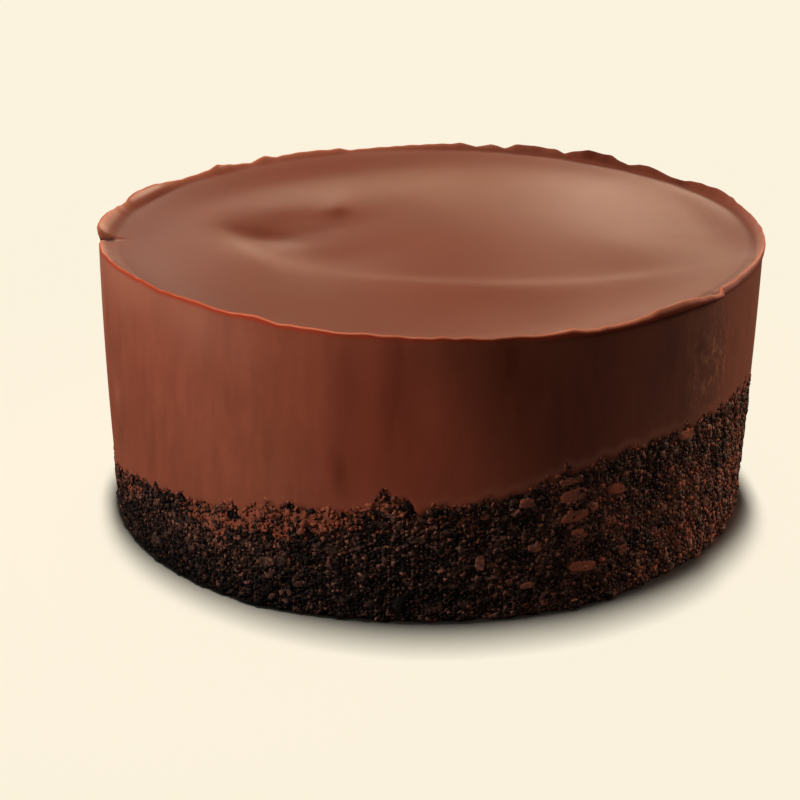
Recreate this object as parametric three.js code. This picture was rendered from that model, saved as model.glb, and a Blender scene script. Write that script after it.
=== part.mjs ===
// A single-serving round chocolate cake that was set in a ring mould and turned out: a dark crumb
// base, pressed deeper on one side, under a smooth poured filling. The filling's edge crept up the
// mould, so a thin lip with scallops, a flare and a tear stands round the top, and the top itself
// keeps the low ridges and hollows it set with.
//
// Millimetres, +Z up. The origin is the centre of the flat underside, and the front faces -Y.
// A turn is an angle about +Z in degrees: 0 is the right side (+X), 90 the back, 270 the front.

import * as THREE from 'three';
import { mergeVertices } from 'three/addons/utils/BufferGeometryUtils.js';

// Driving dimensions
const TOP_RADIUS = 40;
const FOOT_RADIUS = 39.3;
const WALL_HEIGHT = 33.7;
const SEAM_HEIGHT = 11.4;
const SEAM_LEAN = 7.4;
const SEAM_LEAN_TURN = 336;
const JOINT_GAP = 0.3;
const FOOT_CHAMFER = 0.8;

// Lip round the top, and the poured surface inside it
const LIP_RISE = 0.55;
const LIP_THICKNESS = 0.45;
const LIP_LEAN = 0.15;
const POUR_DROP = 0.8;
const MENISCUS_WIDTH = 1.4;
const MENISCUS_RISE = 0.25;
const RIM_REACH = 10;

// Fineness of the meshes
const SEGMENTS = 96;
const BASE_WALL_ROWS = 7;
const FILLING_WALL_ROWS = 7;
const SEAM_RINGS = 5;
const TOP_RINGS = 15;
const WELD = 1e-4;

// Local shapes round the cake: each is a turn, a half-width in degrees and a size in millimetres
const SEAM_SWELLS = [
  [216, 26, 2.3],
  [248, 10, 1.4],
  [264, 4, 2.2],
  [281, 7, -0.5],
  [300, 14, 0.85],
  [354, 8, -1.8],
];
const FOOT_SWELLS = [
  [228, 26, 1],
  [242, 9, 0.45],
  [279, 12, -0.15],
  [298, 10, 0.3],
  [314, 9, -0.5],
  [332, 10, -0.2],
];
const BELLY_SWELLS = [
  [188, 22, 0.3],
  [352, 14, 0.2],
];
const TOP_SWELLS = [
  [228, 20, -0.5],
  [188, 12, 0.2],
  [350, 17, 0.6],
];

// Height of the lip's crest above the wall's nominal top, at turns round the cake
const CREST = [
  [6, 0.72],
  [20, 1],
  [28, 0.53],
  [35, 0],
  [42, 0.55],
  [47, -0.1],
  [52, 0.75],
  [57, 1],
  [62, 0],
  [68, 0.5],
  [75, -0.15],
  [84, 0.25],
  [91, 0],
  [107, -0.4],
  [118, -0.1],
  [128, -0.4],
  [136, 0.3],
  [146, -0.3],
  [155, 0.5],
  [161, 0.73],
  [166, 0.15],
  [176, 0.8],
  [183, 0.8],
  [185.5, -0.5],
  [188, -0.2],
  [195, 0.05],
  [207, 0.7],
  [229, 0.9],
  [242, 1],
  [256, 0.5],
  [277, 0.3],
  [297, -0.15],
  [313, 0.6],
  [325.5, -0.4],
  [329, 0],
  [350, 0.6],
];

// How far the lip leans out of the wall, at turns round the cake
const FLARE = [
  [0, 0.25],
  [25, 0.1],
  [90, 0.05],
  [158, 0.1],
  [172, 0.35],
  [179, 0.6],
  [184, 0.5],
  [186, -0.3],
  [189, 0],
  [284, 0],
  [312, 0.15],
  [325, 0.2],
  [328, -0.15],
  [352, 0.2],
];

// Lumps of the pressed crumb surface: cycles round the cake, cycles up the wall, phase and size
const CRUMB_LUMPS = [
  [13, 3.6, 0.4, 0.2],
  [22, 5.3, 2.1, 0.16],
  [31, 7.1, 4.4, 0.12],
];

// Ridges and hollows of the top: middle x and y, half-length, half-widths of the front and back
// flanks, turn of the long axis, height, and how the axis bends
const TOP_RELIEF = [
  [0, -38, 36, 30, 24, 0, -0.6, 0],
  [-16.5, 1.5, 10, 24, 8, 20, -1.2, 0],
  [-17, 24, 20, 10, 6, 35, -0.55, -0.017],
  [-25, -4, 8, 6, 2.6, -62, 0.38, 0],
  [5, 4, 14, 14, 45, 10, 0.3, 0],
  [38, 4, 13, 26, 26, 0, 0.17, 0],
  [-12, -36, 12, 8, 16, 0, -0.45, 0],
  [24.5, -4.5, 6.5, 9, 10, 0, 0.22, 0],
];

function turned(turn) {
  return Math.cos(THREE.MathUtils.degToRad(turn));
}

// A smooth bump of height 1 at one turn
function bump(turn, at, width) {
  const apart = THREE.MathUtils.euclideanModulo(turn - at + 180, 360) - 180;
  return Math.exp(-((apart / width) ** 2));
}

function swells(list, turn) {
  return list.reduce((sum, [at, width, size]) => sum + size * bump(turn, at, width), 0);
}

// Value between stations that are pairs of turn and value, closed round the cake
function between(stations, turn) {
  const [firstTurn, firstValue] = stations[0];
  const closed = [...stations, [firstTurn + 360, firstValue]];
  const round = firstTurn + THREE.MathUtils.euclideanModulo(turn - firstTurn, 360);
  const next = closed.findIndex(([at]) => at > round);
  const [low, lowValue] = closed[next - 1];
  const [high, highValue] = closed[next];
  return THREE.MathUtils.mapLinear(round, low, high, lowValue, highValue);
}

// Height of the joint between base and filling, level at the middle and most uneven at the wall
function seamHeight(turn, reach) {
  const lean = SEAM_LEAN * reach * turned(turn - SEAM_LEAN_TURN);
  return SEAM_HEIGHT + lean + swells(SEAM_SWELLS, turn) * reach ** 4;
}

// How far the wall stands out from its nominal round cone at this turn and height
function outOfRound(turn, rise) {
  const up = THREE.MathUtils.clamp(rise, 0, 1);
  const ends = THREE.MathUtils.lerp(swells(FOOT_SWELLS, turn), swells(TOP_SWELLS, turn), up);
  return ends + 4 * swells(BELLY_SWELLS, turn) * up * (1 - up);
}

function crumbLumps(turn, height) {
  return CRUMB_LUMPS.reduce((sum, [round, up, phase, size]) => {
    const across = Math.cos(THREE.MathUtils.degToRad(round * turn) + phase);
    const along = Math.cos((2 * Math.PI * up * height) / WALL_HEIGHT + phase);
    return sum + size * across * along;
  }, 0);
}

function topRelief(x, y) {
  return TOP_RELIEF.reduce((sum, [middleX, middleY, length, front, back, axis, height, bend]) => {
    const angle = THREE.MathUtils.degToRad(axis);
    const along = (x - middleX) * Math.cos(angle) + (y - middleY) * Math.sin(angle);
    const aside = (y - middleY) * Math.cos(angle) - (x - middleX) * Math.sin(angle);
    const across = aside - bend * along ** 2;
    const width = across < 0 ? front : back;
    return sum + height * Math.exp(-((along / length) ** 2) - ((across / width) ** 2));
  }, 0);
}

// Lathes a closed outline about +Z, then sets every vertex where the place function puts it
function moulded(outline, place) {
  const geometry = new THREE.LatheGeometry(outline, SEGMENTS);
  geometry.rotateX(Math.PI / 2);
  geometry.deleteAttribute('normal');
  geometry.deleteAttribute('uv');
  const position = geometry.getAttribute('position');
  for (let index = 0; index < position.count; index += 1) {
    const { x: radius, y: height } = outline[index % outline.length];
    const turn = (360 * Math.floor(index / outline.length)) / SEGMENTS;
    const placed = place(turn, radius, height);
    const angle = THREE.MathUtils.degToRad(turn);
    position.setXYZ(index, placed.radius * Math.cos(angle), placed.radius * Math.sin(angle), placed.height);
  }
  const solid = mergeVertices(geometry, WELD);
  solid.computeVertexNormals();
  return solid;
}

// Rings from one radius to another at one height, the first left out
function rings(fromRadius, toRadius, count, height) {
  return Array.from({ length: count }, (_, step) => {
    const share = (step + 1) / count;
    return new THREE.Vector2(THREE.MathUtils.lerp(fromRadius, toRadius, share), height);
  });
}

// Rows up the nominal cone of the wall, both ends included
function wallRows(fromHeight, toHeight, count) {
  return Array.from({ length: count + 1 }, (_, step) => {
    const height = THREE.MathUtils.lerp(fromHeight, toHeight, step / count);
    return new THREE.Vector2(wallRadius(height), height);
  });
}

function wallRadius(height) {
  return THREE.MathUtils.lerp(FOOT_RADIUS, TOP_RADIUS, height / WALL_HEIGHT);
}

// Share of the wall's unevenness that a point takes: all at the wall, none at the axis
function wallShare(radius, height) {
  return Math.min(1, (radius / wallRadius(height)) ** RIM_REACH);
}

function placeBase(turn, radius, height) {
  const reach = Math.min(1, radius / wallRadius(height));
  const placedHeight = (height * seamHeight(turn, reach)) / SEAM_HEIGHT;
  const uneven = outOfRound(turn, placedHeight / WALL_HEIGHT) + crumbLumps(turn, placedHeight);
  const drift = wallRadius(placedHeight) - wallRadius(height);
  return { radius: radius + (drift + uneven) * wallShare(radius, height), height: placedHeight };
}

function placeFilling(turn, radius, height) {
  const reach = Math.min(1, radius / wallRadius(height));
  const share = wallShare(radius, height);
  const angle = THREE.MathUtils.degToRad(turn);
  const inside = height > WALL_HEIGHT - POUR_DROP - MENISCUS_RISE && reach < 1 && height < WALL_HEIGHT;
  const relief = inside ? topRelief(radius * Math.cos(angle), radius * Math.sin(angle)) : 0;
  const rise = (height - SEAM_HEIGHT) / (WALL_HEIGHT - SEAM_HEIGHT);
  const rim = (between(CREST, turn) - LIP_RISE) * share * THREE.MathUtils.smoothstep(rise, 0.96, 1);
  const placedHeight = THREE.MathUtils.lerp(seamHeight(turn, reach), WALL_HEIGHT, rise) + rim + relief;
  const flare = between(FLARE, turn) * THREE.MathUtils.smoothstep(rise, 0.93, 1.03);
  const drift = wallRadius(placedHeight) - wallRadius(height);
  const uneven = outOfRound(turn, placedHeight / WALL_HEIGHT);
  return { radius: radius + (drift + uneven + flare) * share, height: placedHeight };
}

function crumbBaseGeometry() {
  const seam = SEAM_HEIGHT - JOINT_GAP / 2;
  const outline = [
    new THREE.Vector2(0, 0),
    new THREE.Vector2(FOOT_RADIUS / 2, 0),
    new THREE.Vector2(FOOT_RADIUS - FOOT_CHAMFER, 0),
    ...wallRows(FOOT_CHAMFER, seam, BASE_WALL_ROWS),
    ...rings(wallRadius(seam), 0, SEAM_RINGS, seam),
  ];
  return moulded(outline, placeBase);
}

function fillingGeometry() {
  const seam = SEAM_HEIGHT + JOINT_GAP / 2;
  const crest = WALL_HEIGHT + LIP_RISE;
  const pour = WALL_HEIGHT - POUR_DROP;
  const lipFoot = TOP_RADIUS - LIP_THICKNESS;
  const outline = [
    new THREE.Vector2(0, seam),
    ...rings(0, wallRadius(seam), SEAM_RINGS, seam),
    ...wallRows(seam, WALL_HEIGHT, FILLING_WALL_ROWS).slice(1),
    new THREE.Vector2(TOP_RADIUS + LIP_LEAN, crest),
    new THREE.Vector2(TOP_RADIUS + LIP_LEAN - LIP_THICKNESS, crest),
    new THREE.Vector2(lipFoot, pour + MENISCUS_RISE),
    new THREE.Vector2(lipFoot - MENISCUS_WIDTH, pour),
    ...rings(lipFoot - MENISCUS_WIDTH, 0, TOP_RINGS, pour),
  ];
  return moulded(outline, placeFilling);
}

function food(name, geometry, color, roughness) {
  const mesh = new THREE.Mesh(geometry, new THREE.MeshStandardMaterial({ color, roughness, metalness: 0 }));
  mesh.name = name;
  return mesh;
}

const cake = new THREE.Group();
cake.add(food('crumb_base', crumbBaseGeometry(), '#24120c', 0.9));
cake.add(food('chocolate_filling', fillingGeometry(), '#7a4431', 0.45));

export default cake;
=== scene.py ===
"""Looks of a single-serving round chocolate cake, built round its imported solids.

The cake was set in a ring mould: a dark pressed crumb base, deeper on one side, under a smooth
poured filling. The filling crept up the mould, so a thin ragged lip stands round the top. Sizes of
the cake are in millimetres and every mesh is written in metres. A turn is an angle about +Z in
degrees: 0 is the right side (+X), 90 the back, 180 the left side and 270 the front.
"""

import logging
import math
from dataclasses import dataclass, field
from enum import Enum

import bpy
import numpy as np
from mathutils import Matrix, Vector


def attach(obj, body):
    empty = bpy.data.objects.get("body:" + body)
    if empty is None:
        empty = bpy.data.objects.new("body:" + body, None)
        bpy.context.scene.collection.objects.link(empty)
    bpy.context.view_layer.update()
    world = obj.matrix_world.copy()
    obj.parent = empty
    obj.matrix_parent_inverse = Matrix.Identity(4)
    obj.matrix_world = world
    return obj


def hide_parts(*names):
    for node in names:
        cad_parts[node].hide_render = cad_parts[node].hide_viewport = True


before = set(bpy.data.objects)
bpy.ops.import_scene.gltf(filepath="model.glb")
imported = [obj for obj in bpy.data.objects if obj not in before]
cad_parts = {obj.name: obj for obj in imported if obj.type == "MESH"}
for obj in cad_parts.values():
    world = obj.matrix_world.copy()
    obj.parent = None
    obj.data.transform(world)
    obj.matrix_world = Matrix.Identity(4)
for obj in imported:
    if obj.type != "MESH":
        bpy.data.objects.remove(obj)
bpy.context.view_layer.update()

MM = 0.001
BODY = "root"
LOG = logging.getLogger("cake")

Array = np.ndarray
Row = tuple[float, ...]
Piece = bpy.types.Object
Socket = bpy.types.NodeSocket
Feed = Socket | float | int | tuple | Piece


class Slot(Enum):
    """Material slots of the record."""

    CRUMB = "crumb"
    FILLING = "filling"


class Node(Enum):
    """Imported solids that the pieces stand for."""

    BASE = "crumb_base"
    FILLING = "chocolate_filling"


class Mark(Enum):
    """Surface attributes that the finishes and the grain trees read."""

    # LIP: share of the lip's painted glow and painted crest highlight.
    LIP = "lip"
    TOP = "top"
    # RED_GLOW: share of painted redder glow on the dimly lit front.
    RED_GLOW = "red_glow"
    SCUFF = "scuff"
    # SHADE: share of painted shade on the wall, inside the lip and on the top.
    SHADE = "shade"
    TONE = "tone"
    SMEAR = "smear"
    # PALE: share of painted highlight on the wall and the fillet, and of a lighter band above the joint.
    PALE = "pale"


def wrapped(turn: Array) -> Array:
    """Return turns brought into the range from -180 to 180 degrees."""
    return (turn + 180.0) % 360.0 - 180.0


def smooth(low: float, high: float, value: Array) -> Array:
    """Return 0 below low, 1 above high, and a smooth step between them."""
    share = np.clip((value - low) / (high - low), 0.0, 1.0)
    return share * share * (3.0 - 2.0 * share)


def table(kind: type, *rows: Row) -> tuple:
    """Return one item of a dataclass for each row of its field values."""
    return tuple(kind(*row) for row in rows)


@dataclass(frozen=True)
class Swell:
    """A smooth local rise or dip at one turn of the cake."""

    turn: float
    width: float
    size: float

    def at(self, turn: Array) -> Array:
        """Return the rise at each turn, in millimetres."""
        return self.size * np.exp(-((wrapped(turn - self.turn) / self.width) ** 2))


def swells(parts: tuple[Swell, ...], turn: Array) -> Array:
    """Return the sum of several swells at each turn."""
    return sum(part.at(turn) for part in parts)


@dataclass(frozen=True)
class Blotch:
    """A soft patch on the wall, by its turn and height and its half-sizes in degrees and mm."""

    turn: float
    height: float
    half_turn: float
    half_height: float
    size: float

    def at(self, turn: Array, height: Array) -> Array:
        """Return the patch's strength at each point of the wall."""
        across = wrapped(turn - self.turn) / self.half_turn
        along = (height - self.height) / self.half_height
        return self.size * np.exp(-(across**2) - along**2)


@dataclass(frozen=True)
class Waves:
    """Smooth irregular unevenness of the wall, made of cosine waves that close round the cake."""

    seed: int
    fewest: int
    most: int
    climb: float
    size: float
    count: int = 14

    def at(self, turn: Array, height: Array) -> Array:
        """Return the unevenness in millimetres.

        Args:
            turn: Turns in degrees.
            height: Heights in millimetres, of a shape that broadcasts with turn.

        Returns:
            Offsets whose usual size is the dataclass's size.
        """
        draw = np.random.default_rng(self.seed)
        rounds = draw.integers(self.fewest, self.most + 1, self.count)
        climbs = draw.uniform(-self.climb, self.climb, self.count)
        phases = draw.uniform(0.0, 2.0 * math.pi, self.count)
        angle = np.radians(turn)
        total = sum(
            np.cos(cycles * angle + climb * height + phase)
            for cycles, climb, phase in zip(rounds, climbs, phases)
        )
        return self.size * total / math.sqrt(self.count / 2.0)


@dataclass(frozen=True)
class Mound:
    """One soft ridge of the poured top, with its own steepness towards the front and the back."""

    x: float
    y: float
    length: float
    front: float
    back: float
    axis: float
    height: float
    bend: float = 0.0

    def at(self, x: Array, y: Array) -> Array:
        """Return the ridge's height at each point of the top, in millimetres."""
        angle = math.radians(self.axis)
        along = (x - self.x) * math.cos(angle) + (y - self.y) * math.sin(angle)
        across = (y - self.y) * math.cos(angle) - (x - self.x) * math.sin(angle)
        across = across - self.bend * along**2
        width = np.where(across < 0.0, self.front, self.back)
        return self.height * np.exp(-((along / self.length) ** 2) - ((across / width) ** 2))


@dataclass(frozen=True)
class CakeForm:
    """Shape that the base and the filling share: the mould's wall, the joint and the top's rim."""

    top_radius: float = 40.0
    foot_radius: float = 39.3
    wall_height: float = 33.7
    seam_height: float = 11.4
    seam_lean: float = 7.4
    seam_lean_turn: float = 336.0
    pour_drop: float = 0.8
    crease_drop: float = 1.0
    seam_swells: tuple[Swell, ...] = table(
        Swell,
        (216, 26, 2.3), (248, 10, 1.4), (264, 2.6, 2.9), (281, 7, -0.5), (300, 14, 0.85),
        (354, 8, -1.8),
    )
    seam_ragged: Waves = Waves(seed=5, fewest=30, most=130, climb=0.0, size=0.22)
    foot_swells: tuple[Swell, ...] = table(
        Swell,
        (228, 26, 1.0), (242, 9, 0.45), (279, 12, -0.15), (298, 10, 0.3), (314, 9, -0.5),
        (332, 10, -0.2),
    )
    belly_swells: tuple[Swell, ...] = (Swell(188, 22, 0.3), Swell(352, 14, 0.2))
    top_swells: tuple[Swell, ...] = (Swell(228, 20, -0.5), Swell(188, 12, 0.2), Swell(350, 17, 0.6))
    wall_waves: Waves = Waves(seed=11, fewest=2, most=9, climb=0.05, size=0.06)
    lip_waves: Waves = Waves(seed=8, fewest=30, most=120, climb=0.0, size=0.03)
    crest: tuple[tuple[float, float], ...] = (
        (6, 0.72), (11, 0.67), (15, 0.89), (20, 1.0), (28.6, 0.53), (33.5, -0.05), (36.9, 0.02),
        (42.3, 0.55), (44.5, 0.44), (47.3, -0.09), (51.2, 0.75), (54.5, 0.82), (56.7, 1.02),
        (62, -0.02), (63.8, 0.37), (68.5, 0.52), (72.3, 0.48), (74.7, -0.15), (77.5, 0.26),
        (80.5, -0.13), (83.8, 0.27), (91, 0.0), (106, -0.47), (108.3, -0.15), (118, -0.1),
        (122, -0.28), (124.8, 0.08), (128, -0.44), (132.4, -0.24), (136.2, 0.34), (138.5, -0.17),
        (146, -0.3), (155, 0.52), (160, 0.73), (164.4, 0.67), (165.8, 0.13), (176, 0.79),
        (183.5, 0.8), (184.6, -0.5), (186.4, -0.5), (187.4, -0.2), (190, 0.0), (195, 0.05), (198, 0.4),
        (207, 0.7), (216, 0.9), (219, 0.7), (229, 0.9), (236, 0.7), (242, 1.0), (246, 0.6),
        (252, 0.65), (256, 0.5), (261, 0.65), (265, 0.5), (272, 0.43), (277, 0.33), (279.5, 0.1),
        (283, 0.22), (287.5, 0.02), (292.5, 0.3), (294, 0.12), (297, -0.2), (298.5, 0.05),
        (302, -0.1), (306, 0.15), (309, 0.5), (313, 0.6), (317, 0.5), (321, 0.0), (325.3, -0.5),
        (325.9, 0.0), (329, 0.0), (334, 0.3), (342, 0.45), (350, 0.6),
    )
    flare: tuple[tuple[float, float], ...] = (
        (0, 0.25), (10, 0.2), (25, 0.1), (90, 0.05), (158, 0.1), (172, 0.35), (179, 0.6),
        (183.8, 0.5), (185.2, -0.3), (187, -0.3), (188.6, 0.0), (205, 0.04), (250, 0.0),
        (284, 0.02), (295, 0.1), (303, 0.1), (312, 0.15), (325.3, 0.2), (325.9, -0.15),
        (334, -0.1), (342, 0.05), (352, 0.2),
    )
    roll: tuple[tuple[float, float], ...] = (
        (0, 0.1), (20, 0.0), (180, 0.0), (240, 0.0), (284, 0.0), (290, 0.12), (295, 0.3),
        (303, 0.28), (312, 0.4), (320, 0.45), (325.3, 0.4), (325.9, 0.15), (335, 0.18), (350, 0.15),
    )
    creep_rise: float = 0.12
    creep_width: float = 3.0
    creep_swells: tuple[Swell, ...] = (Swell(180, 25, 0.2), Swell(75, 25, 0.05), Swell(8, 16, 0.3))

    def seam(self, turn: Array, reach: Array) -> Array:
        """Return the height of the joint between base and filling.

        Args:
            turn: Turns in degrees.
            reach: Share of the wall's radius, 0 at the axis and 1 at the wall.

        Returns:
            Heights in millimetres.
        """
        lean = self.seam_lean * reach * np.cos(np.radians(turn - self.seam_lean_turn))
        local = swells(self.seam_swells, turn) + self.seam_ragged.at(turn, np.zeros_like(turn))
        return self.seam_height + lean + local * reach**4

    def wall(self, turn: Array, height: Array) -> Array:
        """Return the radius of the moulded wall at each turn and height, in millimetres."""
        rise = np.clip(height / self.wall_height, 0.0, 1.0)
        foot = swells(self.foot_swells, turn)
        top = swells(self.top_swells, turn)
        belly = swells(self.belly_swells, turn) * 4.0 * rise * (1.0 - rise)
        cone = self.foot_radius + (self.top_radius - self.foot_radius) * rise
        return cone + foot * (1.0 - rise) + top * rise + belly + self.wall_waves.at(turn, height)

    def stations(self, pairs: tuple[tuple[float, float], ...], turn: Array) -> Array:
        """Return values between stations given as pairs of turn and value, closed round the cake."""
        at, value = np.array(sorted(pairs)).T
        return np.interp(turn, at, value, period=360.0)

    def rim(self, turn: Array) -> Array:
        """Return the height of the lip's crest at each turn, in millimetres."""
        ragged = self.lip_waves.at(turn, np.zeros_like(turn))
        return self.wall_height + self.stations(self.crest, turn) + ragged

    def lip_flare(self, turn: Array) -> Array:
        """Return how far the lip leans out of the wall at each turn, in millimetres."""
        return self.stations(self.flare, turn)

    def brim_creep(self, turn: Array) -> Array:
        """Return how far the top creeps up inside the lip at each turn, in millimetres."""
        return np.maximum(self.creep_rise + swells(self.creep_swells, turn), 0.0)

    def lip_roll(self, turn: Array) -> Array:
        """Return how far the lip's outer side bulges at each turn, in millimetres."""
        return self.stations(self.roll, turn)


def on_wall(turn: Array, radius: Array, height: Array) -> Array:
    """Return points of the cake from turns in degrees, radii and heights in millimetres."""
    angle = np.radians(turn)
    return np.stack([radius * np.cos(angle), radius * np.sin(angle), height + 0.0 * angle], axis=-1)


def new_object(name: str, mesh: bpy.types.Mesh) -> Piece:
    """Return a new object of the scene that holds a mesh."""
    piece = bpy.data.objects.new(name, mesh)
    bpy.context.scene.collection.objects.link(piece)
    return piece


def band_faces(rings: int, columns: int) -> list[tuple[int, ...]]:
    """Return the quads between rings of points stacked one above another."""
    column = np.arange(columns)
    after = (column + 1) % columns
    faces: list[tuple[int, ...]] = []
    for ring in range(rings - 1):
        low, high = ring * columns, (ring + 1) * columns
        quads = np.stack([low + column, low + after, high + after, high + column], axis=1)
        faces.extend(map(tuple, quads.tolist()))
    return faces


def closed_faces(rings: int, columns: int) -> list[tuple[int, ...]]:
    """Return the faces of stacked rings whose two poles come after the rings' points."""
    faces = band_faces(rings, columns)
    first, last = rings * columns, rings * columns + 1
    top = (rings - 1) * columns
    pairs = [(column, (column + 1) % columns) for column in range(columns)]
    faces.extend((first, after, column) for column, after in pairs)
    faces.extend((last, top + column, top + after) for column, after in pairs)
    return faces


def ring_mesh(name: str, rows: Array, start: Vector, end: Vector) -> bpy.types.Mesh:
    """Build a closed mesh of rings stacked from one pole to another.

    Args:
        name: Name of the mesh.
        rows: Ring points in millimetres, shaped (rings, points of a ring, 3), from the bottom
            pole outwards, up the wall and in to the top pole.
        start: Bottom pole in millimetres.
        end: Top pole in millimetres.

    Returns:
        The mesh, in metres, with its faces outwards.
    """
    rings, columns = rows.shape[:2]
    points = np.vstack([rows.reshape(-1, 3), np.array([start, end])]) * MM
    mesh = bpy.data.meshes.new(name)
    mesh.from_pydata(points.tolist(), [], closed_faces(rings, columns))
    mesh.shade_smooth()
    return mesh


def mark(mesh: bpy.types.Mesh, name: Mark, values: Array, pole: float = 0.0) -> None:
    """Store one number at each point of a mesh.

    Args:
        mesh: Mesh to mark.
        name: Mark that the numbers are stored under.
        values: Numbers of the points that lie on rings.
        pole: Number of the last pole; a first pole keeps 0.
    """
    layer = mesh.attributes.new(name.value, "FLOAT", "POINT")
    numbers = np.zeros(len(mesh.vertices), dtype=np.float32)
    numbers[: values.size] = values.ravel()
    if values.size < numbers.size:
        numbers[-1] = pole
    layer.data.foreach_set("value", numbers)


class Wiring:
    """Adds nodes to one tree and joins them."""

    def __init__(self, tree: bpy.types.NodeTree) -> None:
        """Keep the tree that the nodes go into."""
        self.tree = tree

    def add(self, kind: str, **settings: object) -> bpy.types.Node:
        """Return a new node with the given settings."""
        node = self.tree.nodes.new(kind)
        for name, value in settings.items():
            setattr(node, name, value)
        return node

    def feed(self, socket: Socket, value: Feed) -> None:
        """Join a socket to another, or set its own value."""
        if isinstance(value, Socket):
            self.tree.links.new(value, socket)
        else:
            socket.default_value = value

    def fill(self, node: bpy.types.Node, **values: Feed) -> bpy.types.Node:
        """Feed a node's inputs by name, with _ for a space, and return the node."""
        for name, value in values.items():
            self.feed(node.inputs[name.replace("_", " ")], value)
        return node

    def math(
        self, operation: str, first: Feed, second: Feed = 0.0, clamp: bool = False
    ) -> Socket:
        """Return the result of a Math node."""
        node = self.add("ShaderNodeMath", operation=operation, use_clamp=clamp)
        self.feed(node.inputs[0], first)
        self.feed(node.inputs[1], second)
        return node.outputs[0]

    def vector(self, operation: str, first: Feed, second: Feed) -> Socket:
        """Return the vector that a Vector Math node gives for two vectors."""
        node = self.add("ShaderNodeVectorMath", operation=operation)
        self.feed(node.inputs[0], first)
        self.feed(node.inputs[1], second)
        return node.outputs["Vector"]

    def times(self, vector: Feed, scale: Feed) -> Socket:
        """Return a vector made longer or shorter."""
        node = self.add("ShaderNodeVectorMath", operation="SCALE")
        return self.fill(node, Vector=vector, Scale=scale).outputs["Vector"]

    def span(
        self, value: Feed, low: float, high: float, start: float = 0.0, stop: float = 1.0
    ) -> Socket:
        """Return a value mapped from one span to another and held inside it."""
        node = self.add("ShaderNodeMapRange", interpolation_type="SMOOTHSTEP")
        self.fill(node, Value=value, From_Min=low, From_Max=high, To_Min=start, To_Max=stop)
        return node.outputs["Result"]

    def blend(self, share: Feed, first: Feed, second: Feed) -> Socket:
        """Return two colours blended by a share."""
        node = self.add("ShaderNodeMix", data_type="RGBA")
        self.feed(node.inputs["Factor"], share)
        self.feed(node.inputs[6], first)
        self.feed(node.inputs[7], second)
        return node.outputs[2]


def socket_in(
    group: bpy.types.NodeTree, name: str, kind: str, value: object = None
) -> bpy.types.NodeTreeInterfaceSocket:
    """Add a named input to a node group and return its interface item."""
    item = group.interface.new_socket(name=name, in_out="INPUT", socket_type=kind)
    if value is not None:
        item.default_value = value
    return item


def socket_out(group: bpy.types.NodeTree, name: str, kind: str) -> None:
    """Add a named output to a node group."""
    group.interface.new_socket(name=name, in_out="OUTPUT", socket_type=kind)


def rgb(red: float, green: float, blue: float) -> tuple[float, float, float, float]:
    """Return a linear colour with full alpha."""
    return (red, green, blue, 1.0)


class GrainGroup:
    """Shader group of fine natural grain, read in millimetres of the object's own space."""

    NAME = "fine_grain"

    @classmethod
    def get(cls) -> bpy.types.ShaderNodeTree:
        """Return the group, built on its first use."""
        group = bpy.data.node_groups.get(cls.NAME)
        return group if group else cls.build()

    @classmethod
    def build(cls) -> bpy.types.ShaderNodeTree:
        """Build the group: soft clouds and fine grains, each with its own size."""
        group = bpy.data.node_groups.new(cls.NAME, "ShaderNodeTree")
        socket_in(group, "Cloud size", "NodeSocketFloat", 6.0)
        socket_in(group, "Grain size", "NodeSocketFloat", 0.5)
        socket_in(group, "Upright", "NodeSocketFloat", 1.0)
        socket_out(group, "Clouds", "NodeSocketFloat")
        socket_out(group, "Grains", "NodeSocketFloat")
        wires = Wiring(group)
        given = wires.add("NodeGroupInput").outputs
        result = wires.add("NodeGroupOutput")
        place = wires.times(wires.add("ShaderNodeTexCoord").outputs["Object"], 1.0 / MM)
        stretch = wires.fill(wires.add("ShaderNodeCombineXYZ"), X=1.0, Y=1.0, Z=given["Upright"])
        place = wires.vector("MULTIPLY", place, stretch.outputs[0])
        for size, name, detail in (("Cloud size", "Clouds", 3.0), ("Grain size", "Grains", 2.0)):
            noise = wires.add("ShaderNodeTexNoise")
            scale = wires.math("DIVIDE", 1.0, given[size])
            wires.fill(noise, Vector=place, Scale=scale, Detail=detail, Roughness=0.55)
            wires.feed(result.inputs[name], noise.outputs["Fac"])
        return group


class Finish:
    """Base of the finishes: makes a material once and dresses pieces with it."""

    name: str

    def material(self) -> bpy.types.Material:
        """Return the material, built on its first use."""
        made = bpy.data.materials.get(self.name)
        if made is None:
            made = bpy.data.materials.new(self.name)
            made.use_nodes = True
            made.node_tree.nodes.clear()
            wires = Wiring(made.node_tree)
            shader = wires.add("ShaderNodeBsdfPrincipled")
            target = wires.add("ShaderNodeOutputMaterial")
            wires.feed(target.inputs["Surface"], shader.outputs[0])
            self.wire(wires, shader)
        return made

    def wire(self, wires: Wiring, shader: bpy.types.Node) -> None:
        """Feed the shader's inputs."""
        raise NotImplementedError

    def dress(self, piece: Piece) -> None:
        """Give a piece this finish alone."""
        piece.data.materials.clear()
        piece.data.materials.append(self.material())

    @staticmethod
    def grain(
        wires: Wiring, cloud: float, grain: float, upright: float = 1.0
    ) -> bpy.types.bpy_prop_collection:
        """Return the outputs of a fine-grain group with its own sizes."""
        node = wires.add("ShaderNodeGroup", node_tree=GrainGroup.get())
        wires.fill(node, Cloud_size=cloud, Grain_size=grain, Upright=upright)
        return node.outputs

    @staticmethod
    def attribute(wires: Wiring, name: Mark) -> Socket:
        """Return the number that a piece stores under a mark."""
        return wires.add("ShaderNodeAttribute", attribute_name=name.value).outputs["Fac"]


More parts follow.
